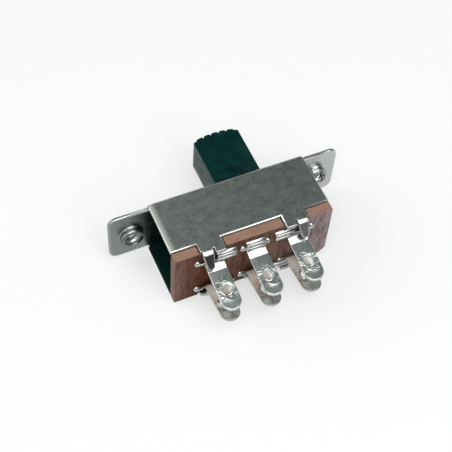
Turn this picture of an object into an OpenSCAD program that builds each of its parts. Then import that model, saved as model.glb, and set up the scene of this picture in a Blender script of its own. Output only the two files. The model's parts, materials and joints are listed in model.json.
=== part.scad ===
// Two-pole slide switch with solder lugs, lying on one long wall of its frame.
// X runs along the body, Y points out of the panel face, and Z is up.
// The origin lies on the panel face, midway between the two mounting holes.

/* [Frame] */
// Length over both mounting ears
frame_l = 35; // [33:0.5:38]
// Distance between the two mounting holes
hole_spacing = 28.6; // [28.2:0.1:29.4]
// Width of the mounting ears
ear_w = 8.8; // [7:0.1:9.4]
// Corner radius of the mounting ears
ear_r = 1.3; // [0.5:0.1:2]
// Thickness of the frame's sheet
sheet_t = 0.6; // [0.5:0.05:0.7]
// Inside radius of the frame's folds
fold_r = 0.35; // [0.25:0.05:0.6]
// Length of the folded body
body_l = 23.4; // [22.6:0.1:24]
// Width over the two long walls of the body
body_w = 10.8; // [9.4:0.1:12]
// Depth from the panel face to the edge of the walls
body_d = 8.8; // [8:0.1:10]
// Bore of the tapped mounting holes
tap_d = 2.5; // [2:0.05:2.8]
// Outside diameter of the drawn collars round the tapped holes
collar_d = 3.4; // [3.2:0.1:3.8]
// Height of the drawn collars under the ears
collar_h = 1; // [0.7:0.1:1.6]
// Bevel round the edges of the collars and the tapped holes
collar_bevel = 0.2; // [0.1:0.05:0.25]

/* [Crimp tabs] */
// Distance of each crimp tab from the middle of the body
tab_x = 6.2; // [5.6:0.1:7]
// Width of the crimp tabs
tab_w = 3.6; // [3.2:0.1:4]
// Height of a tab's shoulder past the board
shoulder_h = 0.6; // [0.3:0.1:1]
// Width of a folded tongue at its root
tongue_w = 1.7; // [1.5:0.1:2.2]
// Width of a folded tongue at its rounded end
tongue_end_w = 1.2; // [1:0.1:1.5]
// Straight length of a folded tongue
tongue_l = 2.2; // [1.4:0.1:2.3]
// Angle through which the tongues are folded over the board
tongue_fold = 58; // [50:1:75]
// Relief cut between a tongue and the edges of its tab
tongue_relief = 0.15; // [0.05:0.05:0.3]
// Play between a crimp tab and its notch in the board
notch_play = 0.1; // [0.05:0.05:0.2]

/* [Terminal board] */
// Thickness of the terminal board
board_t = 1.5; // [1.2:0.1:2]
// Distance of the board's long edges inside the wall faces
board_inset = 0.25; // [0.1:0.05:0.4]
// Size of the board's cut corner
board_corner = 1; // [0.4:0.1:2]
// Play between a terminal and its slot in the board
slot_play = 0.06; // [0.03:0.01:0.1]

/* [Terminals] */
// Distance between neighbouring lugs in a row
lug_pitch = 6.1; // [5.8:0.1:6.3]
// Width of the lugs
lug_w = 2.8; // [2.4:0.1:3]
// Sheet thickness of the terminals
lug_t = 0.5; // [0.4:0.05:0.6]
// Length of the lugs past the board
lug_l = 7.5; // [6.5:0.1:9]
// Distance of the middle of a terminal's leg inside the frame's wall
leg_margin = 0.75; // [0.7:0.05:1.1]
// Length of the stepped root of a lug
step_l = 1.35; // [1:0.05:1.8]
// Lean of a lug's stepped root towards the other row
step_angle = 19; // [12:1:22]
// Lean of a lug's blade towards the other row
blade_angle = 7; // [2:0.5:8]
// Bend radius at the root of a lug, to the middle of the sheet
root_r = 0.6; // [0.4:0.05:0.7]
// Diameter of the wire eye in a lug
eye_d = 1.8; // [1.2:0.1:2]
// Distance of the wire eye from the end of its lug
eye_back = 3.05; // [2.2:0.05:3.5]
// Length of the foot that is clinched on the board
foot_l = 1.5; // [1.3:0.05:1.6]
// Distance of an outer lug's foot from its lug, towards the middle of the row
foot_shift = 1.8; // [1.4:0.1:2]
// Width of the flange that carries a lug along the board
flange_w = 3.7; // [3.4:0.1:4]
// Extra reach of an outer lug's flange away from the middle of the row
flange_out = 0.5; // [0:0.1:0.6]
// Height of the flange that carries a lug along the board
flange_h = 0.4; // [0.3:0.05:0.5]
// Width of the contact pad on the inside of the board
pad_w = 3.4; // [3.2:0.1:3.8]
// Length of the contact pad from its leg towards the middle of the board
pad_l = 2.7; // [2.5:0.05:2.9]
// Radius of the staked pips at the ends of a flange
pip_r = 0.5; // [0.3:0.05:0.5]
// Radius of the ribs pressed across a foot
rib_r = 0.2; // [0.12:0.01:0.22]
// Number of ribs pressed across a foot
rib_count = 2; // [2:1:3]

/* [Slider] */
// Travel of the slider from end to end
travel = 5.4; // [4.6:0.1:5.6]
// Length of the knob along the travel
knob_l = 7; // [6:0.1:8]
// Width of the knob across the travel
knob_w = 5.4; // [4.5:0.1:6]
// Height of the knob's ends above the panel face
knob_h = 9.2; // [6:0.1:11]
// Rise of the knob's crown above its ends
crown_h = 0.5; // [0.2:0.05:0.8]
// Number of grip ridges across the crown
ridge_count = 5; // [3:1:7]
// Height of the grip ridges
ridge_h = 0.25; // [0.1:0.05:0.5]
// Plain margin between the ridges and the ends of the knob
ridge_margin = 0.5; // [0.2:0.05:0.8]
// Length of the carriage under the panel
carriage_l = 16.8; // [16:0.1:17]
// Running play of the slider in the frame
slide_play = 0.12; // [0.08:0.01:0.2]
// Height of the carriage above the contact pads
carriage_lift = 0.25; // [0.2:0.05:0.4]
// Roof over the spring pockets in the carriage
roof_t = 1.5; // [1:0.1:2.5]

/* [Contacts] */
// Flat length of a contact shoe
shoe_l = 7.4; // [7:0.1:8]
// Width of a contact shoe
shoe_w = 2.2; // [1.8:0.1:2.3]
// Thickness of a contact shoe
shoe_t = 0.4; // [0.3:0.05:0.5]
// Length of the turned-up ends of a contact shoe
shoe_tip = 0.8; // [0.5:0.05:1]
// Gap between a shoe and the pads it runs on
touch_gap = 0.05; // [0.02:0.01:0.08]
// Outside diameter of a shoe spring
spring_d = 1.9; // [1.5:0.05:2]
// Wire diameter of a shoe spring
spring_wire = 0.28; // [0.2:0.01:0.32]
// Number of turns of a shoe spring
spring_turns = 7; // [5:1:8]
// Play round the shoes and springs in their pockets
pocket_play = 0.1; // [0.06:0.01:0.15]

/* [Hidden] */
$fn = 48;
EPS = 0.5;
BEND_STEPS = 6;
SPRING_STEPS = 14;
SPRING_SIDES = 6;
// Pitch of a spring's closed end turns, in wire diameters
SPRING_CLOSED = 1.15;
// One grip ridge as shares of its pitch and its height
RIDGE_STEPS = [[0.06, 0], [0.14, 1], [0.86, 1], [0.94, 0]];
// Angle of the turned-up ends of a shoe
SHOE_TIP_ANGLE = 45;
// Inside radius of the clinched bends, kept inside the play of the board's slots
CLINCH_IN_R = 0.05;
// Flat that staking leaves on top of a pip
PIP_FLAT = 0.02;
// Gap left between a folded tongue and the board's edge, before the fold bears on it
GRIP_GAP = 0.025;
// The rest pose has the slider at the +X end of its travel
rest_x = travel / 2;
wall_in = body_w / 2 - sheet_t;
board_in = -body_d;
board_out = board_in - board_t;
board_w = body_w - 2 * board_inset;
notch_z = wall_in - notch_play;
// A fold starts before the board's face, so that the tongue closes on the board's edge
tongue_start = board_out + sqrt(notch_play * (2 * fold_r - notch_play)) - GRIP_GAP;
tongue_x = tab_x + tab_w / 2 - tongue_relief - tongue_w / 2;
shoulder_x = tongue_x - tongue_w / 2 - tongue_relief;
clinch_r = lug_t / 2 + CLINCH_IN_R;
leg_z = wall_in - leg_margin;
row_z = leg_z - foot_l;
pad_z = leg_z - pad_l;
pole_z = leg_z - pad_l / 2;
pad_y = board_in + lug_t / 2;
foot_y = board_out - lug_t / 2;
lug_end = board_out - lug_l;
step_end = [foot_y - step_l * cos(step_angle), row_z - step_l * sin(step_angle)];
eye_y = lug_end + eye_back;
eye_z = step_end[1] - (step_end[0] - eye_y) * tan(blade_angle);
flange_low = row_z + root_r * tan((90 - step_angle) / 2);
rib_low = flange_low + rib_r;
rib_high = leg_z - rib_r / 2;
rib_pitch = (rib_high - rib_low) / (rib_count - 1);
foot_pitch = lug_pitch - foot_shift;
carriage_top = -sheet_t - slide_play;
carriage_bottom = board_in + lug_t + carriage_lift;
carriage_w = 2 * (wall_in - slide_play);
shoe_y = board_in + lug_t + touch_gap;
shoe_rise = shoe_t + shoe_tip;
pocket_top = shoe_y + shoe_rise + pocket_play;
spring_top = carriage_top - roof_t;
spring_l = spring_top - shoe_y - shoe_t;

// Unit vector of v, and v turned a quarter to its left
function unit(v) = v / norm(v);
function quarter_left(v) = [-v[1], v[0]];

// Arc of radius r that rounds the corner b between a and c
function corner_arc(a, b, c, r) =
    let (u = unit(a - b), v = unit(c - b), half = acos(u * v) / 2)
    let (centre = b + unit(u + v) * r / sin(half))
    let (from = b + u * r / tan(half) - centre, to = b + v * r / tan(half) - centre)
    [for (k = [0:BEND_STEPS]) centre + r * unit(from * (BEND_STEPS - k) + to * k)];

// Path with each inner corner i rounded to the radius radii[i - 1]
function rounded_path(path, radii) = [
    path[0],
    for (i = [1:len(path) - 2]) each corner_arc(path[i - 1], path[i], path[i + 1], radii[i - 1]),
    path[len(path) - 1]
];

// Mitred normal of a path at its point i
function path_normal(path, i) =
    let (before = unit(path[max(i, 1)] - path[max(i, 1) - 1]))
    let (last = len(path) - 1, after = unit(path[min(i, last - 1) + 1] - path[min(i, last - 1)]))
    let (m = unit(quarter_left(before) + quarter_left(after)))
    m / (m * quarter_left(before));

// Outline of a sheet of thickness t along a path
function sheet_outline(path, t) = concat(
    [for (i = [0:len(path) - 1]) path[i] + path_normal(path, i) * t / 2],
    [for (i = [len(path) - 1:-1:0]) path[i] - path_normal(path, i) * t / 2]
);

// Lays a profile drawn in Y and Z along X
module along_x(length) {
    rotate([90, 0, 90]) linear_extrude(length, center = true) children();
}

// Lays an outline drawn in X and Z down from the plane at y
module down_from(y, depth) {
    translate([0, y, 0]) rotate([90, 0, 0]) linear_extrude(depth) children();
}

// Turns a shape about Z into one about Y
module about_y() {
    rotate([-90, 0, 0]) children();
}

// Copies at both ends of the body and on both long walls
module at_four_corners() {
    for (sx = [0, 1], sz = [0, 1]) mirror([sx, 0, 0]) mirror([0, 0, sz]) children();
}

// Folded channel section, from its outer face down to the edge of its walls
module channel_section(width, depth, r) {
    translate([-depth, -width / 2]) square([depth - r, width]);
    translate([-depth, r - width / 2]) square([depth, width - 2 * r]);
    for (s = [-1, 1]) translate([-r, s * (width / 2 - r)]) circle(r);
}

module ear_outline() {
    square([frame_l, ear_w - 2 * ear_r], center = true);
    square([frame_l - 2 * ear_r, ear_w], center = true);
    for (sx = [-1, 1], sz = [-1, 1])
        translate([sx * (frame_l / 2 - ear_r), sz * (ear_w / 2 - ear_r)]) circle(ear_r);
}

// Drawn collar under an ear, with a flared root and a bevelled rim
module collar() {
    r = collar_d / 2;
    about_y() rotate_extrude() polygon([
        [0, sheet_t / 2], [r + collar_bevel, sheet_t / 2], [r + collar_bevel, 0], [r, -collar_bevel],
        [r, collar_bevel - collar_h], [r - collar_bevel, -collar_h], [0, -collar_h]
    ]);
}

module tapped_hole() {
    depth = sheet_t + collar_h;
    about_y() translate([0, 0, -depth - EPS]) cylinder(h = depth + 2 * EPS, d = tap_d);
    about_y() translate([0, 0, -collar_bevel]) cylinder(h = collar_bevel, d1 = tap_d, d2 = tap_d + 2 * collar_bevel);
}

module tongue_outline() {
    r = tongue_end_w / 2;
    polygon([[-tongue_w / 2, 0], [tongue_w / 2, 0], [r, r - tongue_l], [-r, r - tongue_l]]);
    translate([0, r - tongue_l]) circle(r);
}

// One crimp tab: a wall extension with a shoulder and a tongue folded over the board
module crimp_tab() {
    tab_in = tab_x - tab_w / 2;
    shoulder_end = board_out - shoulder_h;
    translate([tab_in, tongue_start, wall_in]) cube([tab_w, board_in - tongue_start + EPS, sheet_t]);
    translate([tab_in, shoulder_end, wall_in])
        cube([shoulder_x - tab_in, tongue_start - shoulder_end + EPS, sheet_t]);
    translate([tongue_x, tongue_start, wall_in - fold_r]) {
        rotate([0, 90, 0]) rotate([0, 0, 180]) rotate_extrude(angle = tongue_fold)
            translate([fold_r, -tongue_w / 2]) square([sheet_t, tongue_w]);
        rotate([tongue_fold, 0, 0]) translate([0, 0, fold_r]) linear_extrude(sheet_t) tongue_outline();
    }
}

// Folded sheet: panel plate, ears, long walls and crimp tabs
module frame() {
    slot_l = knob_l + travel + 2 * slide_play;
    slot_w = knob_w + 2 * slide_play;
    color("silver") difference() {
        union() {
            along_x(body_l) difference() {
                channel_section(body_w, body_d, fold_r + sheet_t);
                translate([-sheet_t, 0]) channel_section(2 * wall_in, body_d, fold_r);
            }
            down_from(0, sheet_t) ear_outline();
            for (sx = [-1, 1]) translate([sx * hole_spacing / 2, -sheet_t, 0]) collar();
            at_four_corners() crimp_tab();
        }
        for (sx = [-1, 1]) translate([sx * hole_spacing / 2, 0, 0]) tapped_hole();
        translate([-slot_l / 2, -sheet_t - EPS, -slot_w / 2]) cube([slot_l, sheet_t + 2 * EPS, slot_w]);
    }
}

// Long rectangle with one corner cut
module board_outline() {
    x = body_l / 2;
    z = board_w / 2;
    polygon([[-x, -z], [x - board_corner, -z], [x, board_corner - z], [x, z], [-x, z]]);
}

module terminal_board() {
    notch_w = tab_w + 2 * notch_play;
    slot = [lug_w + 2 * slot_play, lug_t + 2 * slot_play];
    color("sienna") down_from(board_in, board_t) difference() {
        board_outline();
        for (sx = [-1, 1], sz = [0, 1]) mirror([0, sz])
            translate([sx * tab_x - notch_w / 2, notch_z]) square([notch_w, board_w]);
        for (i = [-1:1], sz = [-1, 1]) translate([i * foot_pitch, sz * leg_z]) square(slot, center = true);
    }
}

// Foot's plan: a wide pad inside the board and a narrower leg and foot
module foot_plan() {
    translate([-pad_w / 2, board_in]) square([pad_w, lug_t]);
    translate([-lug_w / 2, board_out - 2 * lug_t]) square([lug_w, board_t + 2 * lug_t]);
}

// Lug's plan, with its round end
module lug_plan() {
    r = lug_w / 2;
    translate([-r, lug_end + r]) square([lug_w, board_out - lug_end - r]);
    translate([0, lug_end + r]) circle(r);
}

// Domed pip of metal that is staked against the board beside the lug
module staked_pip() {
    about_y() mirror([0, 0, 1]) rotate_extrude() intersection() {
        circle(pip_r);
        square([pip_r, pip_r - PIP_FLAT]);
    }
}

// Bent strip of the terminals' sheet, cut to a plan
module bent_strip(bends, radii, width) {
    intersection() {
        along_x(width) polygon(sheet_outline(rounded_path(bends, radii), lug_t));
        translate([0, 0, -body_w]) linear_extrude(2 * body_w) children();
    }
}

// Clinched part of an upper terminal: contact pad, leg through the board, and ribbed foot
module clinched_foot() {
    bent_strip([[pad_y, pad_z], [pad_y, leg_z], [foot_y, leg_z], [foot_y, flange_low]],
               [clinch_r, clinch_r], pad_w) foot_plan();
    for (i = [0:rib_count - 1]) translate([0, board_out - lug_t, rib_low + i * rib_pitch])
        rotate([0, 90, 0]) cylinder(h = lug_w, r = rib_r, center = true);
}

// Solder lug of an upper terminal: stepped root, leaning blade and wire eye
module solder_lug() {
    blade_l = (step_end[0] - lug_end) / cos(blade_angle) + EPS;
    blade_end = step_end - blade_l * [cos(blade_angle), sin(blade_angle)];
    difference() {
        bent_strip([[foot_y, flange_low + flange_h], [foot_y, row_z], step_end, blade_end],
                   [root_r, root_r], lug_w) lug_plan();
        translate([0, eye_y, eye_z]) rotate([blade_angle, 0, 0]) cylinder(h = 4 * lug_t, d = eye_d, center = true);
    }
}

// Terminal of the upper row, with its foot at foot_x from its lug and a pipped flange between them
module upper_terminal(foot_x) {
    outward = -sign(foot_x) * flange_out;
    left = min(outward, 0) - flange_w / 2;
    right = max(outward, 0) + flange_w / 2;
    translate([foot_x, 0, 0]) clinched_foot();
    solder_lug();
    translate([left, board_out - lug_t, flange_low]) cube([right - left, lug_t, flange_h]);
    for (x = [left, right]) translate([x, board_out, flange_low + flange_h / 2]) staked_pip();
}

// Terminal at the given place in its row, 1 for the upper row and -1 for the lower one
module terminal(place, row) {
    color("lightgray") translate([place * lug_pitch, 0, 0]) mirror([0, 0, row < 0 ? 1 : 0])
        upper_terminal(-place * foot_shift);
}

// Height of the knob's smooth crown at x from the knob's middle
function crown(x) = knob_h + crown_h * (1 - pow(2 * x / knob_l, 2));

// Knob's side outline, with the ridges as steps on the crown
module knob_outline() {
    half = knob_l / 2;
    pitch = (knob_l - 2 * ridge_margin) / ridge_count;
    first = ridge_margin - half;
    ridges = [for (i = [0:ridge_count - 1], s = RIDGE_STEPS)
        let (x = first + (i + s[0]) * pitch) [x, crown(x) + s[1] * ridge_h]];
    polygon(concat([[half, carriage_top - EPS], [-half, carriage_top - EPS], [-half, crown(half)]],
                   ridges, [[half, crown(half)]]));
}

// Pocket for one shoe and its spring, open towards the board
module shoe_pocket() {
    l = shoe_l + 2 * shoe_tip + 2 * pocket_play;
    w = shoe_w + 2 * pocket_play;
    translate([-l / 2, carriage_bottom - EPS, -w / 2]) cube([l, pocket_top - carriage_bottom + EPS, w]);
    translate([0, pocket_top - EPS, 0]) about_y()
        cylinder(h = spring_top - pocket_top + EPS, d = spring_d + 2 * pocket_play);
}

// Moulding: ridged knob above the panel and carriage under it
module slider() {
    color("#1c2a2b") translate([rest_x, 0, 0]) difference() {
        union() {
            translate([0, 0, -knob_w / 2]) linear_extrude(knob_w) knob_outline();
            translate([-carriage_l / 2, carriage_bottom, -carriage_w / 2])
                cube([carriage_l, carriage_top - carriage_bottom, carriage_w]);
        }
        for (s = [-1, 1]) translate([0, 0, s * pole_z]) shoe_pocket();
    }
}

// Bridging contact: flat strip with turned-up ends
module contact_shoe(row) {
    y = shoe_y + shoe_t / 2;
    half = shoe_l / 2;
    tip = shoe_tip * [cos(SHOE_TIP_ANGLE), sin(SHOE_TIP_ANGLE)];
    bends = [[-half - tip[0], y + tip[1]], [-half, y], [half, y], [half + tip[0], y + tip[1]]];
    color("goldenrod") translate([rest_x, 0, row * pole_z - shoe_w / 2])
        linear_extrude(shoe_w) polygon(sheet_outline(rounded_path(bends, [shoe_t, shoe_t]), shoe_t));
}

// Distance along the spring after u turns, with its end turns closed
function spring_rise(u) =
    let (end_pitch = SPRING_CLOSED * spring_wire, middle = spring_turns - 2)
    let (pitch = (spring_l - spring_wire - 2 * end_pitch) / middle)
    spring_wire / 2 + end_pitch * min(u, 1) + pitch * min(max(u - 1, 0), middle) + end_pitch * max(u - 1 - middle, 0);

// Point k of the wire's section after u turns
function spring_point(u, k) =
    let (a = 360 * k / SPRING_SIDES, r = (spring_d - spring_wire) / 2 + spring_wire / 2 * cos(a))
    [r * cos(360 * u), spring_rise(u) + spring_wire / 2 * sin(a), r * sin(360 * u)];

// Compression spring between a shoe and the roof of its pocket
module shoe_spring(row) {
    rings = spring_turns * SPRING_STEPS;
    points = [for (i = [0:rings], k = [0:SPRING_SIDES - 1]) spring_point(i / SPRING_STEPS, k)];
    sides = [for (i = [0:rings - 1], k = [0:SPRING_SIDES - 1])
        let (a = i * SPRING_SIDES, n = (k + 1) % SPRING_SIDES)
        [a + k, a + SPRING_SIDES + k, a + SPRING_SIDES + n, a + n]];
    start_cap = [for (k = [0:SPRING_SIDES - 1]) k];
    end_cap = [for (k = [SPRING_SIDES - 1:-1:0]) rings * SPRING_SIDES + k];
    color("gray") translate([rest_x, shoe_y + shoe_t, row * pole_z])
        polyhedron(points, concat([start_cap], sides, [end_cap]));
}

frame();
terminal_board();
slider();
terminal(-1, 1);  // terminal_upper_left
terminal(0, 1);  // terminal_upper_middle
terminal(1, 1);  // terminal_upper_right
terminal(-1, -1);  // terminal_lower_left
terminal(0, -1);  // terminal_lower_middle
terminal(1, -1);  // terminal_lower_right
contact_shoe(1);  // contact_shoe_upper
contact_shoe(-1);  // contact_shoe_lower
shoe_spring(1);  // shoe_spring_upper
shoe_spring(-1);  // shoe_spring_lower
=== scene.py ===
# %% [markdown]
# # A panel slide switch, dressed in Blender
# The real thing is a small stamped and moulded part: a folded steel frame with two tapped ears, a dark ridged
# knob, a brown laminate board crimped on behind, and rows of solder lugs. Its solids come from CAD with the right
# shapes and sizes, so this lesson adds what a solid model lacks: softened edges, cut threads, solder, wound
# springs, finishes and light. Everything is in metres, in the CAD model's own frame.

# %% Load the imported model
import json
import math

import bmesh
import bpy
from mathutils import Matrix, Vector


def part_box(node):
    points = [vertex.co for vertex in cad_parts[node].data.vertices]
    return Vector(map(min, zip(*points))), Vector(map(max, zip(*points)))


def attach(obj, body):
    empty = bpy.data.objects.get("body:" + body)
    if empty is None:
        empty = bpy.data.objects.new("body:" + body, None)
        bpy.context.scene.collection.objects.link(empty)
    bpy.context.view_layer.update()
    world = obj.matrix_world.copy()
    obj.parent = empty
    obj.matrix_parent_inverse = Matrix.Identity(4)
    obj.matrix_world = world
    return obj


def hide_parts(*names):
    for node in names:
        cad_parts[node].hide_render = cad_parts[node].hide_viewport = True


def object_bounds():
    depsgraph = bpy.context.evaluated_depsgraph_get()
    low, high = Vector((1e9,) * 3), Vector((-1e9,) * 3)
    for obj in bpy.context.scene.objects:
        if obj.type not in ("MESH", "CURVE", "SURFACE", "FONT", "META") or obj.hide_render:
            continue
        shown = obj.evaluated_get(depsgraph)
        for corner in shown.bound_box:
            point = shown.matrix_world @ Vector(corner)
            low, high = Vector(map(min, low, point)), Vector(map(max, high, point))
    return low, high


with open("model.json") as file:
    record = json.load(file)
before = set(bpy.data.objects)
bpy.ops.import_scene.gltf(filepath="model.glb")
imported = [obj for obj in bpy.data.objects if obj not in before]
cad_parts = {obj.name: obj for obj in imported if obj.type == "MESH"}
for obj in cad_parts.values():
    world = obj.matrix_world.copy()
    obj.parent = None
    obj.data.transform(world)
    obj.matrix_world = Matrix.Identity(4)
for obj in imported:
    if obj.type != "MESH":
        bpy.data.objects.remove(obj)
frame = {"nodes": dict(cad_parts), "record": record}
cad_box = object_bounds()
MM = 0.001

# %% [markdown]
# ## The camera
# A camera can be placed by eye or solved from the picture. This one was solved: the frame's corners and holes were
# matched to their places in the picture, which gives the position, the direction and the lens all at once.
# Blender's camera looks along its own -Z with +Y up, so the three directions become the columns of its matrix.

# %% Camera at the photograph's viewing angle
CAMERA_AT = Vector((-40.89, -79.36, 123.11)) * MM
LOOK = Vector((0.2639, 0.5024, -0.8234)).normalized()
LEANING_UP = Vector((0.3065, 0.7657, 0.5654))
SENSOR_MM = 36
LENS_MM = 84.86
NEAREST = 5 * MM
right = LOOK.cross(LEANING_UP).normalized()
up = right.cross(LOOK)

camera_data = bpy.data.cameras.new("product_camera")
camera_data.sensor_width = SENSOR_MM
camera_data.lens = LENS_MM
camera_data.clip_start = NEAREST
camera = bpy.data.objects.new("product_camera", camera_data)
camera.matrix_world = Matrix.Translation(CAMERA_AT) @ Matrix((right, up, -LOOK)).transposed().to_4x4()
bpy.context.scene.collection.objects.link(camera)
bpy.context.scene.camera = camera
bpy.context.scene.view_settings.view_transform = "Standard"
print("camera at", [round(c, 4) for c in CAMERA_AT], "lens", camera_data.lens)

# %% [markdown]
# ## Helpers for node trees
# Finishes, the room and Geometry Nodes are all node trees, and building them line by line is long. One helper makes
# a node, sets its options, and then either links or sets each input that it is given. Two more cover the sums that
# come up most: a single Math node, and a product of any number of values.

# %% Node helpers
def add_node(tree, kind, inputs=None, **options):
    made = tree.nodes.new(kind)
    for option, value in options.items():
        setattr(made, option, value)
    for socket, value in (inputs or {}).items():
        if isinstance(value, bpy.types.NodeSocket):
            tree.links.new(value, made.inputs[socket])
        else:
            made.inputs[socket].default_value = value
    return made


def math_node(tree, operation, a, b=0.0):
    return add_node(tree, "ShaderNodeMath", {0: a, 1: b}, operation=operation).outputs["Value"]


def product(tree, first, *others):
    for other in others:
        first = math_node(tree, "MULTIPLY", first, other)
    return first


print("node helpers ready")

# %% [markdown]
# ## Floor
# The part lies on a pale floor. More light could make the ground white, but it would bleach the part as well. So the
# floor is pale paint, and a Light Path node makes half of what the eye and the metal see of it plain white paper:
# the ground looks white at a plain level of light, and the shadow stays.

# %% Pale floor
FLOOR_Z = cad_box[0][2]
FLOOR_SPAN = 3
FLOOR_PAINT = (0.93, 0.93, 0.93, 1)
FLOOR_ROUGHNESS = 0.9
bpy.ops.mesh.primitive_plane_add(size=FLOOR_SPAN, location=(0, 0, FLOOR_Z))
floor = bpy.context.object
floor.name = "floor"
floor_paint = bpy.data.materials.new("floor_paint")
floor_paint.use_nodes = True
floor_tree = floor_paint.node_tree
floor_shader = floor_tree.nodes["Principled BSDF"]
floor_shader.inputs["Base Color"].default_value = FLOOR_PAINT
floor_shader.inputs["Roughness"].default_value = FLOOR_ROUGHNESS
floor_shader.inputs["Specular IOR Level"].default_value = 0
floor.data.materials.append(floor_paint)
print("floor at", round(FLOOR_Z, 5))

# %% White paper to the eye and in the metal
PAPER_SHARE = 0.5
ray = add_node(floor_tree, "ShaderNodeLightPath").outputs
seen = math_node(floor_tree, "MAXIMUM", ray["Is Camera Ray"], ray["Is Glossy Ray"])
seen = math_node(floor_tree, "MAXIMUM", seen, ray["Is Transmission Ray"])
paper = add_node(floor_tree, "ShaderNodeEmission", {"Strength": 1}).outputs["Emission"]
ground = add_node(floor_tree, "ShaderNodeMixShader", {0: product(floor_tree, seen, PAPER_SHARE),
                                                      1: floor_shader.outputs["BSDF"], 2: paper})
floor_tree.links.new(ground.outputs["Shader"], floor_tree.nodes["Material Output"].inputs["Surface"])
print("white share of the ground:", PAPER_SHARE)

# %% [markdown]
# ## Room and lamps
# Bright metal shows its surroundings more than its own colour, so the studio matters as much as the finish. The room
# is a calm grey, darker on the right and a little brighter at the horizon, with a black flag in front: the tongues,
# which face that way, then stay dark against their bright bends. A large soft box hangs over the lugs, a little
# towards the camera: bends and stepped roots that tilt that way catch it as white lines. A front box carries those
# lines round the rounded edges, a smaller one by the camera opens up the shadows between the lugs, and one behind on
# the left draws the sheet's cut ends.

# %% Room that the metal mirrors
def span(tree, value, low, high, out_low, out_high, ease="LINEAR"):
    made = add_node(tree, "ShaderNodeMapRange", {"Value": value, "From Min": low, "From Max": high,
                                                 "To Min": out_low, "To Max": out_high}, interpolation_type=ease)
    return made.outputs["Result"]


LIT_TONE = (0.505, 0.535, 0.495, 1)
SHADED_TONE = (0.227, 0.27, 0.27, 1)
SHADE_FROM, SHADE_TO = 0.14, 0.34
room = bpy.data.worlds.new("studio_room")
room.use_nodes = True
bpy.context.scene.world = room
room_tree = room.node_tree
direction = add_node(room_tree, "ShaderNodeTexCoord").outputs["Generated"]
towards = add_node(room_tree, "ShaderNodeSeparateXYZ", {"Vector": direction}).outputs
to_shade = span(room_tree, towards["X"], SHADE_FROM, SHADE_TO, 0, 1, "SMOOTHSTEP")
tone = add_node(room_tree, "ShaderNodeValToRGB", {"Fac": to_shade})
tone.color_ramp.elements[0].color = LIT_TONE
tone.color_ramp.elements[1].color = SHADED_TONE
print("room toned from", LIT_TONE[:3], "to", SHADED_TONE[:3])

# %% Brighter horizon and a black flag
HORIZON_LEVEL, UPPER_LEVEL, UPPER_FROM = 1.3, 1.0, 0.4
FLAG = Vector((0.26, -0.96, 0.1)).normalized()
FLAG_RIM, FLAG_CORE, FLAG_BLACK = 0.45, 0.9, 0.06
level = span(room_tree, towards["Z"], 0, UPPER_FROM, HORIZON_LEVEL, UPPER_LEVEL, "SMOOTHSTEP")
at_flag = add_node(room_tree, "ShaderNodeVectorMath", {0: direction, 1: FLAG}, operation="DOT_PRODUCT")
flagged = span(room_tree, at_flag.outputs["Value"], FLAG_RIM, FLAG_CORE, 1, FLAG_BLACK, "SMOOTHSTEP")
backdrop = room_tree.nodes["Background"]
room_tree.links.new(tone.outputs["Color"], backdrop.inputs["Color"])
room_tree.links.new(product(room_tree, level, flagged), backdrop.inputs["Strength"])
print("room shaded in", len(room_tree.nodes), "nodes")

# %% Soft boxes
SOFT_BOXES = {
    "overhead_box": {"at": (0.05, -0.165, 0.42), "aim": (0.05, -0.15, 0), "size": (0.46, 0.27), "power": 0.92},
    "camera_box": {"at": (-0.13, -0.20, 0.36), "aim": (0, -0.005, 0), "size": (0.16, 0.16), "power": 0.25},
    "front_box": {"at": (0.12, -0.36, 0.30), "aim": (0, 0, 0), "size": (0.26, 0.22), "power": 0.42},
    "left_box": {"at": (-0.34, 0.20, 0.24), "aim": (0, 0, 0), "size": (0.30, 0.34), "power": 0.5},
}


def soft_box(name, at, aim, size, power):
    lamp = bpy.data.lights.new(name, "AREA")
    lamp.shape = "RECTANGLE"
    lamp.size, lamp.size_y = size
    lamp.energy = power
    holder = bpy.data.objects.new(name, lamp)
    holder.location = at
    holder.rotation_euler = (Vector(aim) - Vector(at)).to_track_quat("-Z", "Y").to_euler()
    bpy.context.scene.collection.objects.link(holder)


for box, setting in SOFT_BOXES.items():
    soft_box(box, **setting)
print("lamps:", list(SOFT_BOXES))

# %% [markdown]
# ## Finishes
# Each finish is built from noise in the object's own coordinates, so it stays with the part from every side. The
# noise is stretched by a number of waves per metre, because the part is in metres. Colour, roughness and bump vary a
# little at the scale of the real surface: rolling lines on the sheet, blotches in the plating, fibres in the laminate
# and a fine grain on the moulding. Noise keeps mostly to its middle, so gloss is read from that part of it. Some
# colours are painted light and shade, placed by masks of place and surface normal. Edges wear first, so the steel and
# the tin also read an attribute, rounded_edge, which is 1 on the narrow faces that round an edge and 0 elsewhere; on
# the lower row of lugs it carries painted shade instead of wear.

# %% Start and end of a finish
def start_finish(name, metallic, specular=0.5):
    finish = bpy.data.materials.new(name)
    finish.use_nodes = True
    tree = finish.node_tree
    shader = tree.nodes["Principled BSDF"]
    shader.inputs["Metallic"].default_value = metallic
    shader.inputs["Specular IOR Level"].default_value = specular
    place = add_node(tree, "ShaderNodeTexCoord").outputs["Object"]
    return finish, tree, shader, place


def finish_surface(tree, shader, colour, rough, height, depth_mm):
    tree.links.new(colour, shader.inputs["Base Color"])
    tree.links.new(rough, shader.inputs["Roughness"])
    bump = add_node(tree, "ShaderNodeBump", {"Height": height, "Strength": 1.0, "Distance": depth_mm * MM})
    tree.links.new(bump.outputs["Normal"], shader.inputs["Normal"])
    return bump.outputs["Normal"]


print("finish helpers ready")

# %% Grain
NOISE_LOW, NOISE_HIGH = 0.3, 0.7


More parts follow.
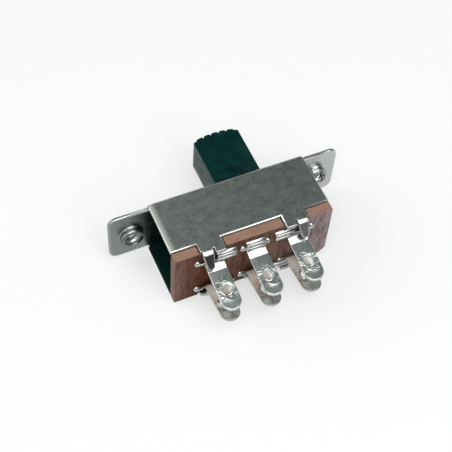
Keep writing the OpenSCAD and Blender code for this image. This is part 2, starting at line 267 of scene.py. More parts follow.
def noise(tree, place, waves, detail=4, roughness=0.5):
    mapped = add_node(tree, "ShaderNodeMapping", {"Vector": place, "Scale": waves})
    made = add_node(tree, "ShaderNodeTexNoise", {"Vector": mapped.outputs["Vector"], "Scale": 1,
                                                 "Detail": detail, "Roughness": roughness})
    return made.outputs["Fac"]


def vary(tree, grain, low, high):
    return span(tree, grain, NOISE_LOW, NOISE_HIGH, low, high)


print("grain helpers ready")

# %% Colour
MIX_FACTOR, MIX_A, MIX_B, MIX_RESULT = 0, 6, 7, 2


def ramp(tree, factor, *stops):
    made = add_node(tree, "ShaderNodeValToRGB", {"Fac": factor})
    elements = made.color_ramp.elements
    while len(elements) < len(stops):
        elements.new(0.5)
    for element, (position, colour) in zip(elements, stops):
        element.position = position
        element.color = (*colour, 1)
    return made.outputs["Color"]


def mix_colour(tree, factor, a, b, blend="MIX"):
    a, b = (c if isinstance(c, bpy.types.NodeSocket) else (*c, 1) for c in (a, b))
    made = add_node(tree, "ShaderNodeMix", {MIX_FACTOR: factor, MIX_A: a, MIX_B: b},
                    data_type="RGBA", blend_type=blend)
    return made.outputs[MIX_RESULT]


print("colour helpers ready")

# %% Masks
def mask(tree, value, off, on):
    return span(tree, value, off, on, 0, 1)


def axes(tree, vector):
    return add_node(tree, "ShaderNodeSeparateXYZ", {"Vector": vector}).outputs


def facing_axes(tree):
    return axes(tree, add_node(tree, "ShaderNodeTexCoord").outputs["Normal"])


def magnitude(tree, value):
    return math_node(tree, "ABSOLUTE", value)


def rounded_edges(tree):
    return add_node(tree, "ShaderNodeAttribute", attribute_name="rounded_edge").outputs["Fac"]


print("mask helpers ready")

# %% [markdown]
# ### Plated steel
# The frame is bright plated sheet. Rolling leaves faint lines along the strip, handling leaves duller clouds, and
# both change the gloss more than the colour. The rest is painted light and shade: the right ear is painted lighter
# and the left ear painted darker, though it is also a little rougher; the bends of the tongues carry a painted
# highlight and their flats painted shade; a painted highlight runs along one end of the walls; and the inside of the
# channel is painted dark as shade. All of it could be painted by hand, but place and surface normal already tell
# these spots apart, so masks from both mix the colours.

# %% Plating
STEEL_TONES = ((0.36, (0.244, 0.256, 0.248)), (0.64, (0.387, 0.405, 0.393)))
plated_steel, tree, shader, place = start_finish("plated_steel", metallic=1)
rolling = noise(tree, place, waves=(300, 4200, 4200), detail=3)
clouds = noise(tree, place, waves=(700, 900, 900), detail=5, roughness=0.6)
mottle = noise(tree, place, waves=(3600, 3600, 3600), detail=2)
patches = product(tree, math_node(tree, "ADD", clouds, mottle), 0.5)
steel = ramp(tree, patches, *STEEL_TONES)
at, facing = axes(tree, place), facing_axes(tree)
upright = magnitude(tree, facing["Z"])
print("finish:", plated_steel.name)

# %% Painted light on the right ear, painted shade on the left ear
EAR_FROM, EAR_FULL = 11 * MM, 15 * MM
EAR_SHARE = 0.7
EAR_PAINTED_LIGHT, EAR_PAINTED_SHADE = (0.56, 0.577, 0.571), (0.19, 0.22, 0.226)
right_ear = mask(tree, at["X"], EAR_FROM, EAR_FULL)
left_ear = mask(tree, at["X"], -EAR_FROM, -EAR_FULL)
# Painted light and shade: by place along X, the right ear is painted lighter and the left ear darker with a teal
# tint.
steel = mix_colour(tree, product(tree, right_ear, EAR_SHARE), steel, EAR_PAINTED_LIGHT)
steel = mix_colour(tree, product(tree, left_ear, EAR_SHARE), steel, EAR_PAINTED_SHADE)
print("ears shaded from", EAR_FROM, "to", EAR_FULL)

# %% Painted shade on the flat faces of the tongues
TONGUE_PAINTED_SHADE_TONES = ((0, (0.135, 0.132, 0.118)), (1, (0.40, 0.40, 0.405)))
FLAT_FACES_BACK, FLAT_FACES_UP = (-0.8, -0.84), (0.3, 0.45)
MIDDLE, PAST_BOARD = 3 * MM, 0.2 * MM
board_low, board_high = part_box("terminal_board")
past_board = mask(tree, at["Y"], board_low.y, board_low.y - PAST_BOARD)
tongue_flat = product(tree, mask(tree, facing["Y"], *FLAT_FACES_BACK), mask(tree, upright, *FLAT_FACES_UP))
# Painted shade: the flat faces of the tongues past the board are darkened, most on the left, as shade and dark
# reflection.
tongue_painted_shade = ramp(tree, mask(tree, at["X"], -MIDDLE, MIDDLE), *TONGUE_PAINTED_SHADE_TONES)
steel = mix_colour(tree, product(tree, past_board, tongue_flat), steel, tongue_painted_shade)
print("tongues tarnished past Y", round(board_low.y, 5))

# %% Painted highlight on the bends, and worn edges
WORN_AND_HIGHLIGHT_TONE = (0.714, 0.72, 0.714)
BEND_FACES_BACK, BEND_FACES_UP = (-0.12, -0.35), (0.54, 0.6)
WORN, WORN_LEFT_EAR, WORN_TONGUE_SHARE, EAR_LESS_WORN_FROM = 0.6, 0.15, 0.3, 0.3
# Painted highlight: bends facing back and up are painted pale. The worn edges get the same pale tone from wear.
bend_highlight = product(tree, mask(tree, facing["Y"], *BEND_FACES_BACK), mask(tree, upright, *BEND_FACES_UP))
worn = product(tree, rounded_edges(tree), span(tree, left_ear, EAR_LESS_WORN_FROM, 1, WORN, WORN_LEFT_EAR),
               span(tree, past_board, 0, 1, 1, WORN_TONGUE_SHARE))
steel = mix_colour(tree, math_node(tree, "MAXIMUM", bend_highlight, worn), steel, WORN_AND_HIGHLIGHT_TONE)
print("edges worn by", WORN)

# %% Painted highlight along one end of the walls
WALL_END_PAINTED_HIGHLIGHT = (0.95, 0.94, 0.92)
WALL_END = 11.7 * MM
WALL_FACES_UP = (0.6, 0.9)
RIM_FROM, RIM_FULL, RIM_MARGIN = 0.9 * MM, 0.35 * MM, 0.05 * MM
# Painted highlight: a near-white band on the wall faces close to their left end, kept off the rounded edges.
on_wall = product(tree, math_node(tree, "GREATER_THAN", at["X"], -WALL_END - RIM_MARGIN),
                  mask(tree, upright, *WALL_FACES_UP))
by_end = mask(tree, at["X"], RIM_FROM - WALL_END, RIM_FULL - WALL_END)
unworn = span(tree, rounded_edges(tree), 0, 1, 1, 0)
steel = mix_colour(tree, product(tree, on_wall, by_end, unworn), steel, WALL_END_PAINTED_HIGHLIGHT)
print("rim of", RIM_FROM, "sheared")

# %% Gloss and relief of the plating
CLOUD_ROUGHNESS, LINE_ROUGHNESS = (0.20, 0.28), (0.0, 0.05)
LEFT_EAR_MATTE, LINE_DEPTH = 0.12, 0.4
rough = math_node(tree, "ADD", vary(tree, clouds, *CLOUD_ROUGHNESS), vary(tree, rolling, *LINE_ROUGHNESS))
rough = math_node(tree, "ADD", rough, product(tree, left_ear, LEFT_EAR_MATTE))
relief = math_node(tree, "ADD", product(tree, rolling, LINE_DEPTH), mottle)
finish_surface(tree, shader, steel, rough, relief, depth_mm=0.0009)
print("plating has", len(tree.nodes), "nodes")

# %% Painted shade inside the channel
CHANNEL_PAINTED_SHADE, CHANNEL_ROUGHNESS = (0.012, 0.048, 0.044), 0.75
SHEET, SKIN = 0.6 * MM, 0.01 * MM
WALL_CORE = 5.05 * MM
LOWER_REACH, UPPER_REACH, ROW_STEP = 11.8 * MM, 11.65 * MM, 0.1 * MM
reach = span(tree, at["Z"], -ROW_STEP, ROW_STEP, LOWER_REACH, UPPER_REACH)
inside = product(tree, math_node(tree, "LESS_THAN", magnitude(tree, at["Z"]), WALL_CORE),
                 math_node(tree, "LESS_THAN", at["Y"], -SHEET - SKIN),
                 math_node(tree, "GREATER_THAN", at["Y"], board_high.y - SKIN),
                 math_node(tree, "LESS_THAN", magnitude(tree, at["X"]), reach))
# Painted shade: the inside of the channel is coloured near black with a teal tint, and made rougher.
tree.links.new(mix_colour(tree, inside, steel, CHANNEL_PAINTED_SHADE), shader.inputs["Base Color"])
dull = math_node(tree, "MAXIMUM", rough, product(tree, inside, CHANNEL_ROUGHNESS))
tree.links.new(dull, shader.inputs["Roughness"])
print("inside of the channel darkened")

# %% [markdown]
# ### Tinned lugs
# The lugs are brass dipped in tin. The tin is pale and a little uneven, with streaks along the lug where it drained
# and worn bright edges on the upper row; on the lower row the edges are darkened as painted shade. Between the two
# rows, near the board, the inner faces are painted pale, warm and matte as painted light, fading away from the board.
# The sign of Z tells the rows apart, so the same nodes find the inner faces of both. Round the wire eyes, which the
# record gives, spilt solder lies in small beads: distance from the nearest eye sets where, and a deeper bump makes
# the glints.

# %% Tinned brass for the terminals
TIN_TONES = ((0.32, (0.452, 0.464, 0.452)), (0.68, (0.571, 0.589, 0.577)))
EDGE_SHADE_AND_WEAR_TONES = ((0, (0.25, 0.255, 0.25)), (1, (0.738, 0.738, 0.726)))
BLOT_ROUGHNESS, STREAK_ROUGHNESS = (0.12, 0.20), (0.0, 0.06)
BETWEEN_ROWS = 1 * MM
tinned_brass, tree, shader, place = start_finish("tinned_brass", metallic=1)
drained = noise(tree, place, waves=(2600, 420, 2600))
blots = noise(tree, place, waves=(900, 700, 900))
at, facing = axes(tree, place), facing_axes(tree)
tin = ramp(tree, blots, *TIN_TONES)
# Painted shade: the edges of the lower row are darkened, while those of the upper row are pale from wear.
edge_shade_and_wear = ramp(tree, mask(tree, at["Z"], -BETWEEN_ROWS, BETWEEN_ROWS), *EDGE_SHADE_AND_WEAR_TONES)
tin = mix_colour(tree, rounded_edges(tree), tin, edge_shade_and_wear)
rough = math_node(tree, "ADD", vary(tree, blots, *BLOT_ROUGHNESS), vary(tree, drained, *STREAK_ROUGHNESS))
tin_relief = finish_surface(tree, shader, tin, rough, math_node(tree, "ADD", drained, blots), depth_mm=0.002)
print("finish:", tinned_brass.name)

# %% Painted light on the inner faces between the rows
PAINTED_INNER_TONES = ((0.35, (0.80, 0.67, 0.58)), (0.6, (0.97, 0.90, 0.83)))
FACES_INWARD = (-0.5, -0.8)
PAINTED_INNER_FROM, PAINTED_INNER_FULL = board_low.y - 0.6 * MM, board_low.y - 1 * MM
PAINTED_INNER_FADES, PAINTED_INNER_ENDS = board_low.y - 2.5 * MM, board_low.y - 5.7 * MM
PAINTED_INNER_LAST, PAINTED_INNER_METALLIC, PAINTED_INNER_ROUGHNESS = 0.15, 0.1, 0.4
outward = product(tree, facing["Z"], math_node(tree, "SIGN", at["Z"]))
# Painted light: inner faces near the board are painted pale, warm and matte, fading away from the board.
painted_inner_mask = product(tree, mask(tree, outward, *FACES_INWARD), mask(tree, at["Y"], PAINTED_INNER_FROM, PAINTED_INNER_FULL),
                 span(tree, at["Y"], PAINTED_INNER_FADES, PAINTED_INNER_ENDS, 1, PAINTED_INNER_LAST))
painted_inner_light = ramp(tree, drained, *PAINTED_INNER_TONES)
tree.links.new(mix_colour(tree, painted_inner_mask, tin, painted_inner_light), shader.inputs["Base Color"])
tree.links.new(span(tree, painted_inner_mask, 0, 1, 1, PAINTED_INNER_METALLIC), shader.inputs["Metallic"])
matte = math_node(tree, "MAXIMUM", rough, product(tree, painted_inner_mask, PAINTED_INNER_ROUGHNESS))
tree.links.new(matte, shader.inputs["Roughness"])
print("flux from Y", round(PAINTED_INNER_FROM, 5), "to", round(PAINTED_INNER_ENDS, 5))

# %% Beads of solder round the wire eyes
BEADS_FROM, BEADS_FULL, BEAD_DEPTH = 2.0 * MM, 1.2 * MM, 0.16 * MM
BLOT_RIM = (0.42, 0.58)
eyes = [m["pos_m"] for m in frame["record"]["mounts"] if m["name"].startswith("wire_eye")]
eye_pitch = (max(e[0] for e in eyes) - min(e[0] for e in eyes)) / 2
eye_y = eyes[0][1]
beside = math_node(tree, "PINGPONG", at["X"], eye_pitch / 2)
along = math_node(tree, "SUBTRACT", at["Y"], eye_y)
squares = math_node(tree, "ADD", product(tree, beside, beside), product(tree, along, along))
from_eye = math_node(tree, "SQRT", squares)
wetted = product(tree, mask(tree, from_eye, BEADS_FROM, BEADS_FULL), mask(tree, blots, *BLOT_RIM))
beads = noise(tree, place, waves=(2400, 2400, 2400), detail=2)
swell = add_node(tree, "ShaderNodeBump", {"Height": product(tree, beads, wetted), "Strength": 1.0,
                                          "Distance": BEAD_DEPTH, "Normal": tin_relief})
tree.links.new(swell.outputs["Normal"], shader.inputs["Normal"])
print("beads round", len(eyes), "eyes")

# %% [markdown]
# ### Laminate
# The board is paper pressed in brown resin. Its faces show short fibres and pale specks, and along the board the
# brown changes and turns mauve-grey towards one end as a painted sheen. Its punched edges show the pressed layers,
# paler and rougher than the faces, most of all along the two long edges. The surface normal tells faces from edges,
# and the place along the board sets the brown and how much painted sheen it carries.

# %% Brown faces of the board, with a painted sheen towards one end
HALF_BOARD = 12 * MM
BROWNS_AND_SHEEN = ((0.0, (0.19, 0.107, 0.093)), (0.10, (0.114, 0.042, 0.028)), (0.2, (0.104, 0.036, 0.017)),
          (0.66, (0.165, 0.09, 0.066)), (0.84, (0.268, 0.202, 0.212)))
FIBRE_TONES = ((0.36, (0.50, 0.42, 0.40)), (0.50, (1.0, 1.0, 1.0)), (0.66, (1.45, 1.5, 1.52)))
paper_laminate, tree, shader, place = start_finish("paper_laminate", metallic=0, specular=0.07)
fibres = noise(tree, place, waves=(2600, 1800, 500), detail=5, roughness=0.65)
at, facing = axes(tree, place), facing_axes(tree)
# Partly painted light: the brown varies along the board and turns mauve-grey towards +X as a painted sheen.
brown_and_sheen = ramp(tree, mask(tree, at["X"], -HALF_BOARD, HALF_BOARD), *BROWNS_AND_SHEEN)
face_brown = mix_colour(tree, 1.0, brown_and_sheen, ramp(tree, fibres, *FIBRE_TONES), blend="MULTIPLY")
print("finish:", paper_laminate.name)

# %% Pressed edges and specks of the board
TAN_TONES = ((0.35, (0.265, 0.152, 0.11)), (0.65, (0.342, 0.208, 0.155)))
SPECK, SPECK_RIM, SPECK_SHARE = (0.50, 0.357, 0.274), (0.66, 0.74), 0.35
EDGE_TURNED_FROM_FACE, SHORT_EDGE_FACES_END, SHORT_EDGE_SHARE = (0.95, 0.3), (0.3, 0.8), 0.15
FIBRE_ROUGHNESS = (0.38, 0.58)
layers = noise(tree, place, waves=(500, 9000, 500), detail=2)
specks = noise(tree, place, waves=(5200, 5200, 5200), detail=2)
edge_tan = ramp(tree, layers, *TAN_TONES)
edge = mask(tree, magnitude(tree, facing["Y"]), *EDGE_TURNED_FROM_FACE)
long_share = span(tree, magnitude(tree, facing["X"]), *SHORT_EDGE_FACES_END, 1, SHORT_EDGE_SHARE)
brown = mix_colour(tree, product(tree, edge, long_share), face_brown, edge_tan)
brown = mix_colour(tree, span(tree, specks, *SPECK_RIM, 0, SPECK_SHARE), brown, SPECK)
relief = math_node(tree, "ADD", fibres, specks)
finish_surface(tree, shader, brown, vary(tree, fibres, *FIBRE_ROUGHNESS), relief, depth_mm=0.012)
print("board has", len(tree.nodes), "nodes")

# %% [markdown]
# ### Moulded knob
# The slider is a dark green-black moulding with a satin skin: a very fine grain in the bump, and slow changes of
# gloss where fingers have polished it. One noise could do both, but at a single scale it would look printed, so
# there are two. A tint on the specular keeps its highlights as cool as the plastic.

# %% Satin plastic for the slider
INK_TONES = ((NOISE_LOW, (0.0007, 0.013, 0.0155)), (NOISE_HIGH, (0.0019, 0.03, 0.0275)))
COOL_GLOSS = (0.5, 0.95, 0.95, 1)
HANDLED_ROUGHNESS = (0.28, 0.44)
satin_plastic, tree, shader, place = start_finish("satin_plastic", metallic=0, specular=0.12)
shader.inputs["Specular Tint"].default_value = COOL_GLOSS
grain = noise(tree, place, waves=(5200, 5200, 5200), detail=3)
handled = noise(tree, place, waves=(620, 620, 620))
ink = ramp(tree, handled, *INK_TONES)
finish_surface(tree, shader, ink, vary(tree, handled, *HANDLED_ROUGHNESS), grain, depth_mm=0.006)
print("finish:", satin_plastic.name)

# %% [markdown]
# ### Contact brass and spring wire
# Inside, the shoes are bare brass with wipe marks along their travel, and the springs are drawn wire. So little of
# them shows that a flat colour would nearly do, but the part may be opened up. Noise stretched along the travel
# makes the wipe marks, and even noise makes the dull grain of the wire.

# %% Brass for the shoes
BRASS_TONES = ((NOISE_LOW, (0.62, 0.44, 0.17)), (NOISE_HIGH, (0.76, 0.58, 0.27)))
WIPED_ROUGHNESS = (0.16, 0.34)
contact_brass, tree, shader, place = start_finish("contact_brass", metallic=1)
wiped = noise(tree, place, waves=(200, 4000, 4000), detail=3)
gold = ramp(tree, wiped, *BRASS_TONES)
finish_surface(tree, shader, gold, vary(tree, wiped, *WIPED_ROUGHNESS), wiped, depth_mm=0.004)
print("finish:", contact_brass.name)

# %% Wire for the springs, and the list of finishes
WIRE_TONES = ((NOISE_LOW, (0.42, 0.42, 0.42)), (NOISE_HIGH, (0.58, 0.58, 0.57)))
DRAWN_ROUGHNESS = (0.22, 0.36)
drawn_wire, tree, shader, place = start_finish("drawn_wire", metallic=1)
drawn = noise(tree, place, waves=(3000, 3000, 3000), detail=3)
wire = ramp(tree, drawn, *WIRE_TONES)
finish_surface(tree, shader, wire, vary(tree, drawn, *DRAWN_ROUGHNESS), drawn, depth_mm=0.003)
FINISH = {"frame_steel": plated_steel, "lug_metal": tinned_brass, "board_laminate": paper_laminate,
          "knob_plastic": satin_plastic, "shoe_brass": contact_brass, "spring_steel": drawn_wire}
print("finishes:", sorted(FINISH))

# %% [markdown]
# ## Softened edges
# A CAD solid has perfectly sharp edges, which catch no light. On the real part every punched or moulded edge is
# slightly rounded. The edges could be rounded in the shader, but then the mesh itself would stay sharp. So each node
# is copied, its loose triangles are merged, flat neighbours are joined, and a Bevel modifier rounds the outer edges
# by a weight. Edges that lead smoothly into each other form a run and share one weight, because two widths that meet
# in line would tear: long runs are rounded fully, short ones by a share, and those of tiny faces not at all. The
# modifier gives its new faces a second material number, which becomes the rounded_edge attribute, and a Weighted
# Normal modifier keeps the large faces level up to their rounded edges.

# %% Outer edges in smooth runs
SHARP = math.radians(35)
TURN = math.radians(150)
SMALLEST_FACE = 0.03 * MM * MM
LONG_RUN = 2 * MM


def outer_edges(shell):
    return {e for e in shell.edges if len(e.link_faces) == 2 and e.is_convex and e.calc_face_angle(0) > SHARP}


def smooth_run(start, edges):
    run, ends = {start}, [(start, vert) for vert in start.verts]
    while ends:
        edge, vert = ends.pop()
        back = edge.other_vert(vert).co - vert.co
        for other in vert.link_edges:
            if other in edges and other not in run and back.angle(other.other_vert(vert).co - vert.co) > TURN:
                run.add(other)
                ends.append((other, other.other_vert(vert)))
    return run


def rounding(run, short_share):
    if min(face.calc_area() for edge in run for face in edge.link_faces) < SMALLEST_FACE:
        return 0
    return 1 if sum(edge.calc_length() for edge in run) > LONG_RUN else short_share


print("edge helpers ready")

# %% Merged copy of a CAD node, with a weight on each edge
MERGE = 0.0005 * MM
FLAT = math.radians(0.5)


def weighted_copy(node, name, short_share):
    shell = bmesh.new()
    shell.from_mesh(frame["nodes"][node].data)
    bmesh.ops.remove_doubles(shell, verts=shell.verts, dist=MERGE)
    bmesh.ops.dissolve_limit(shell, angle_limit=FLAT, verts=shell.verts, edges=shell.edges)
    weight = shell.edges.layers.float.new("bevel_weight_edge")
    for edge in shell.edges:
        edge.smooth = edge.calc_face_angle(0) < SHARP
    left = outer_edges(shell)
    while left:
        run = smooth_run(next(iter(left)), left)
        left -= run
        share = rounding(run, short_share)
        for edge in run:
            edge[weight] = share
            edge.smooth = share > 0
    mesh = bpy.data.meshes.new(name)
    shell.to_mesh(mesh)
    shell.free()
    mesh.polygons.foreach_set("use_smooth", [True] * len(mesh.polygons))
    return mesh


print("copy helper ready")

# %% Plain mesh from a piece with modifiers
def plain_mesh(shaped, name):
    bpy.context.view_layer.update()
    evaluated = shaped.evaluated_get(bpy.context.evaluated_depsgraph_get())
    mesh = bpy.data.meshes.new_from_object(evaluated)
    shaped.modifiers.clear()
    shaped.data = mesh
    mesh.name = name
    return mesh


print("mesh helper ready")

# %% Softened piece in place of a CAD node
SLOT_OF = {part["node"]: part["material_slot"] for part in frame["record"]["subparts"]}
BODY_OF = {node: body for body, nodes in frame["record"]["behaviour"]["bodies"].items() for node in nodes}
LARGE_FACES_FIRST = 100
EDGE_SLOT = 1


def soften(node, name, width_mm, segments=2, short_share=1.0):
    piece = bpy.data.objects.new(name, weighted_copy(node, name, short_share))
    bpy.context.scene.collection.objects.link(piece)
    bevel = piece.modifiers.new("soft_edges", "BEVEL")
    bevel.width = width_mm * MM
    bevel.segments = segments
    bevel.limit_method = "WEIGHT"
    bevel.use_clamp_overlap = False
    bevel.material = EDGE_SLOT
    level_flats = piece.modifiers.new("level_flats", "WEIGHTED_NORMAL")
    level_flats.weight = LARGE_FACES_FIRST
    level_flats.keep_sharp = True
    for _ in ("flats", "edges"):
        piece.data.materials.append(FINISH[SLOT_OF[node]])
    mesh = plain_mesh(piece, name)
    on_edge = [face.material_index for face in mesh.polygons]
    mesh.attributes.new("rounded_edge", "FLOAT", "FACE").data.foreach_set("value", on_edge)
    mesh.polygons.foreach_set("material_index", [0] * len(on_edge))
    mesh.materials.pop(index=EDGE_SLOT)
    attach(piece, BODY_OF[node])
    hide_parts(node)
    return piece


print("softening helper ready")

# %% Soften the frame, the board, the slider and the lugs
softened = [
    soften("frame", "frame_shell", width_mm=0.24, segments=4, short_share=0.45),
    soften("terminal_board", "board_plate", width_mm=0.16, segments=4),
    soften("slider", "slider_moulding", width_mm=0.06),
]
for node in sorted(n for n in frame["nodes"] if n.startswith("terminal_") and n != "terminal_board"):
    softened.append(soften(node, node.replace("terminal", "lug"), width_mm=0.1))
for piece in softened:
    print(piece.name, len(piece.data.polygons), "faces")

# %% [markdown]
# ## Cut threads
# The ear holes are tapped, and the CAD bores are plain. A thread is one ridge that winds down the bore, so it follows
# a path: Geometry Nodes sweep a small triangle along a spiral and set a copy in each hole. The tree has named inputs,
# so the same ridge fits another bore. Its result becomes a plain mesh, because the export drops instances. The
# helpers also serve the solder and the springs: a start with named inputs, an end that sets copies on points and may
# turn or push them, and a piece that is grown from the tree.

# %% Start and end of a Geometry Nodes tree
def start_tree(name, sizes):
    tree = bpy.data.node_groups.new(name, "GeometryNodeTree")
    tree.interface.new_socket("Geometry", in_out="OUTPUT", socket_type="NodeSocketGeometry")
    sockets = {}
    for size in sizes:
        sockets[size] = tree.interface.new_socket(size, in_out="INPUT", socket_type="NodeSocketFloat").identifier
    return tree, add_node(tree, "NodeGroupInput").outputs, sockets


def end_tree(tree, geometry, spots, finish, turn=None, push=None):
    placing = {"Points": spots, "Instance": geometry}
    if turn is not None:
        placing["Rotation"] = turn
    copies = add_node(tree, "GeometryNodeInstanceOnPoints", placing)
    real = add_node(tree, "GeometryNodeRealizeInstances", {"Geometry": copies.outputs["Instances"]})
    if push is not None:
        real = add_node(tree, "GeometryNodeSetPosition", {"Geometry": real.outputs["Geometry"], "Offset": push})
    painted = add_node(tree, "GeometryNodeSetMaterial", {"Geometry": real.outputs["Geometry"], "Material": finish})
    add_node(tree, "NodeGroupOutput", {"Geometry": painted.outputs["Geometry"]})


def sweep(tree, path, section, caps):
    swept = add_node(tree, "GeometryNodeCurveToMesh", {"Curve": path, "Profile Curve": section.outputs["Curve"],
                                                       "Fill Caps": caps})
    return swept.outputs["Mesh"]


print("tree helpers ready")

# %% Piece grown from a tree
CREASE = math.radians(50)


def grow(name, tree, sockets, sizes, body):
    piece = bpy.data.objects.new(name, bpy.data.meshes.new(name))
    bpy.context.scene.collection.objects.link(piece)
    modifier = piece.modifiers.new(name, "NODES")
    modifier.node_group = tree
    for size, value in sizes.items():
        modifier[sockets[size]] = value
    mesh = plain_mesh(piece, name)
    mesh.polygons.foreach_set("use_smooth", [True] * len(mesh.polygons))
    mesh.set_sharp_from_angle(angle=CREASE)
    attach(piece, body)
    print(name, len(mesh.polygons), "faces")
    return piece


print("growing helper ready")

# %% Thread ridge in both ear holes
THREAD_STEPS, THREAD_SIDES = 40, 3
ears = next(m for m in frame["record"]["mounts"] if m["name"] == "ear_holes")
thread = {"Bore": ears["dims"]["hole_r_mm"] * MM, "Pitch": 0.5 * MM, "Turns": 2.4, "Tooth": 0.16 * MM,
          "Spacing": ears["dims"]["spacing_x_mm"] * MM, "Start": -0.3 * MM}
tree, sizes, sockets = start_tree("tapped_thread", thread)
rise = product(tree, sizes["Pitch"], sizes["Turns"])
path = add_node(tree, "GeometryNodeCurveSpiral", {"Resolution": THREAD_STEPS, "Rotations": sizes["Turns"],
                                                  "Start Radius": sizes["Bore"], "End Radius": sizes["Bore"],
                                                  "Height": rise})
tooth = add_node(tree, "GeometryNodeCurvePrimitiveCircle", {"Resolution": THREAD_SIDES, "Radius": sizes["Tooth"]})
ridge = sweep(tree, path.outputs["Curve"], tooth, caps=True)
laid = add_node(tree, "GeometryNodeTransform", {"Geometry": ridge, "Rotation": (math.pi / 2, 0, 0)})
first = add_node(tree, "ShaderNodeCombineXYZ", {"X": product(tree, sizes["Spacing"], -0.5), "Y": sizes["Start"]})
apart = add_node(tree, "ShaderNodeCombineXYZ", {"X": sizes["Spacing"]})
holes = add_node(tree, "GeometryNodeMeshLine", {"Count": 2, "Start Location": first.outputs["Vector"],
                                                "Offset": apart.outputs["Vector"]})
end_tree(tree, laid.outputs["Geometry"], holes.outputs["Mesh"], plated_steel)
grow("tapped_threads", tree, sockets, thread, "housing")

# %% [markdown]
# ## Solder in the wire eyes
# Wires have been soldered to the lugs, and a collar of solder is left in each eye. A collar follows a circle, so
# Geometry Nodes sweep a bead round one and set a copy in all six eyes, leaning as the lugs of its row do. Six alike
# would look cast, so noise in the part's own coordinates then pushes every copy out of shape in its own way.

# %% Finish of the solder
SOLDER_TONES = ((NOISE_LOW, (0.60, 0.61, 0.60)), (NOISE_HIGH, (0.80, 0.80, 0.79)))
SOLDER_ROUGHNESS = (0.10, 0.24)
bright_solder, tree, shader, place = start_finish("bright_solder", metallic=1)
chill = noise(tree, place, waves=(1800, 1800, 1800), detail=3)
solder = ramp(tree, chill, *SOLDER_TONES)
finish_surface(tree, shader, solder, vary(tree, chill, *SOLDER_ROUGHNESS), chill, depth_mm=0.02)
print("finish:", bright_solder.name)

# %% One collar
COLLAR_STEPS, COLLAR_SIDES = 28, 10
upper_eye = next(m for m in frame["record"]["mounts"] if m["name"] == "wire_eye_upper_middle")
collar = {"Radius": 0.85 * MM, "Bead": 0.2 * MM, "Height": 1.6, "Pitch": eye_pitch, "Row": upper_eye["pos_m"][2],
          "Reach": eye_y, "Swell": 0.2 * MM, "Tilt": math.asin(-upper_eye["axis"][1])}
tree, sizes, sockets = start_tree("solder_collar", collar)
circle = add_node(tree, "GeometryNodeCurvePrimitiveCircle", {"Resolution": COLLAR_STEPS, "Radius": sizes["Radius"]})
bead = add_node(tree, "GeometryNodeCurvePrimitiveCircle", {"Resolution": COLLAR_SIDES, "Radius": sizes["Bead"]})
ring = sweep(tree, circle.outputs["Curve"], bead, caps=False)
proud = add_node(tree, "ShaderNodeCombineXYZ", {"X": 1.0, "Y": 1.0, "Z": sizes["Height"]})
raised = add_node(tree, "GeometryNodeTransform", {"Geometry": ring, "Scale": proud.outputs["Vector"]})
print("collar of", collar["Radius"], "started")

# %% Collar in each eye
LUMPS_PER_METRE = 1300.0
NOISE_MIDDLE = (0.5, 0.5, 0.5)
rows = add_node(tree, "GeometryNodeMeshGrid", {"Size X": product(tree, sizes["Pitch"], 2.0),
                                               "Size Y": product(tree, sizes["Row"], 2.0),
                                               "Vertices X": 3, "Vertices Y": 2})
to_lugs = add_node(tree, "ShaderNodeCombineXYZ", {"Y": sizes["Reach"]})
spots = add_node(tree, "GeometryNodeTransform", {"Geometry": rows.outputs["Mesh"],
                                                 "Rotation": (math.pi / 2, 0, 0),
                                                 "Translation": to_lugs.outputs["Vector"]})
position = add_node(tree, "GeometryNodeInputPosition").outputs["Position"]
row_side = math_node(tree, "SIGN", axes(tree, position)["Z"])
lean = add_node(tree, "ShaderNodeCombineXYZ", {"X": product(tree, row_side, sizes["Tilt"])})
lumps = add_node(tree, "ShaderNodeTexNoise", {"Scale": LUMPS_PER_METRE, "Detail": 1.0, "Vector": position})
push = add_node(tree, "ShaderNodeVectorMath", {0: lumps.outputs["Color"], 1: NOISE_MIDDLE}, operation="SUBTRACT")
push = add_node(tree, "ShaderNodeVectorMath", {0: push.outputs["Vector"], "Scale": sizes["Swell"]},
                operation="SCALE")
end_tree(tree, raised.outputs["Geometry"], spots.outputs["Geometry"], bright_solder,
         turn=lean.outputs["Vector"], push=push.outputs["Vector"])
grow("eye_solder", tree, sockets, collar, "housing")

# %% [markdown]
# ## Shoe springs
# Under the slider, a compression spring presses each contact shoe on the pads. The CAD springs are coarse. A spring's
# shape follows a rule, so Geometry Nodes wind it: a flat spiral is lifted turn by turn, slowly over the closed end
# turns and evenly between them, and a round wire is swept along it.

# %% Lift of a wound wire
WIRE = 0.28 * MM
TURNS, CLOSED_TURNS = 7.0, 2.0
CLOSED = 1.15 * WIRE
SPRING_STEPS, SPRING_SIDES = 28, 10
low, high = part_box("shoe_spring_upper")
coil = {"Radius": (high.x - low.x - WIRE) / 2, "Wire": WIRE / 2, "Turns": TURNS, "Closed": CLOSED,
        "Pitch": (high.y - low.y - WIRE - CLOSED_TURNS * CLOSED) / (TURNS - CLOSED_TURNS),
        "Along": (low.x + high.x) / 2, "Base": low.y, "Side": (low.z + high.z) / 2}
tree, sizes, sockets = start_tree("shoe_spring", coil)
turn = product(tree, add_node(tree, "GeometryNodeSplineParameter").outputs["Factor"], sizes["Turns"])
active = math_node(tree, "SUBTRACT", sizes["Turns"], CLOSED_TURNS)
past_end = math_node(tree, "MAXIMUM", math_node(tree, "SUBTRACT", turn, CLOSED_TURNS / 2), 0.0)
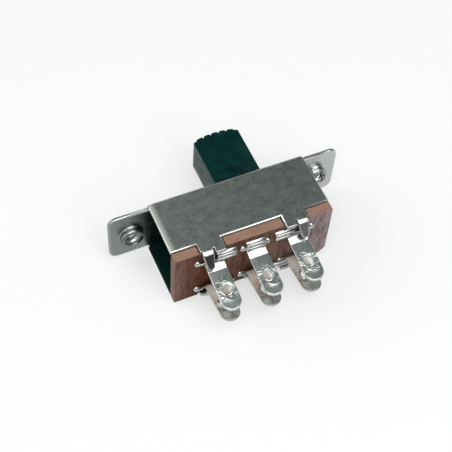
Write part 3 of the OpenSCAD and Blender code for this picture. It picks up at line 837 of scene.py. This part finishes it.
middle = math_node(tree, "MINIMUM", past_end, active)
closed = math_node(tree, "SUBTRACT", turn, middle)
lift = math_node(tree, "ADD", product(tree, middle, sizes["Pitch"]), product(tree, closed, sizes["Closed"]))
lift = math_node(tree, "ADD", lift, sizes["Wire"])
print("spring of", coil["Turns"], "turns started")

# %% Wind both springs
flat = add_node(tree, "GeometryNodeCurveSpiral", {"Resolution": SPRING_STEPS, "Rotations": sizes["Turns"],
                                                  "Start Radius": sizes["Radius"], "End Radius": sizes["Radius"],
                                                  "Height": 0.0})
upward = add_node(tree, "ShaderNodeCombineXYZ", {"Z": lift})
lifted = add_node(tree, "GeometryNodeSetPosition", {"Geometry": flat.outputs["Curve"],
                                                    "Offset": upward.outputs["Vector"]})
section = add_node(tree, "GeometryNodeCurvePrimitiveCircle", {"Resolution": SPRING_SIDES, "Radius": sizes["Wire"]})
wound = sweep(tree, lifted.outputs["Geometry"], section, caps=True)
stood = add_node(tree, "GeometryNodeTransform", {"Geometry": wound, "Rotation": (-math.pi / 2, 0, 0)})
lower = add_node(tree, "ShaderNodeCombineXYZ", {"X": sizes["Along"], "Y": sizes["Base"],
                                                "Z": product(tree, sizes["Side"], -1.0)})
across = add_node(tree, "ShaderNodeCombineXYZ", {"Z": product(tree, sizes["Side"], 2.0)})
pockets = add_node(tree, "GeometryNodeMeshLine", {"Count": 2, "Start Location": lower.outputs["Vector"],
                                                  "Offset": across.outputs["Vector"]})
end_tree(tree, stood.outputs["Geometry"], pockets.outputs["Mesh"], drawn_wire)
springs = grow("shoe_springs", tree, sockets, coil, "actuator")
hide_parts("shoe_spring_upper", "shoe_spring_lower")

# %% [markdown]
# ## Contact shoes
# Each shoe bridges two neighbouring pads of its row. It could be made again here with rounded edges, but no side
# shows them, and its shape in CAD is right, so the shoes only get their brass.

# %% Finish the shoes
for node in ("contact_shoe_upper", "contact_shoe_lower"):
    frame["nodes"][node].data.materials.clear()
    frame["nodes"][node].data.materials.append(contact_brass)
print("shoes finished in", contact_brass.name)
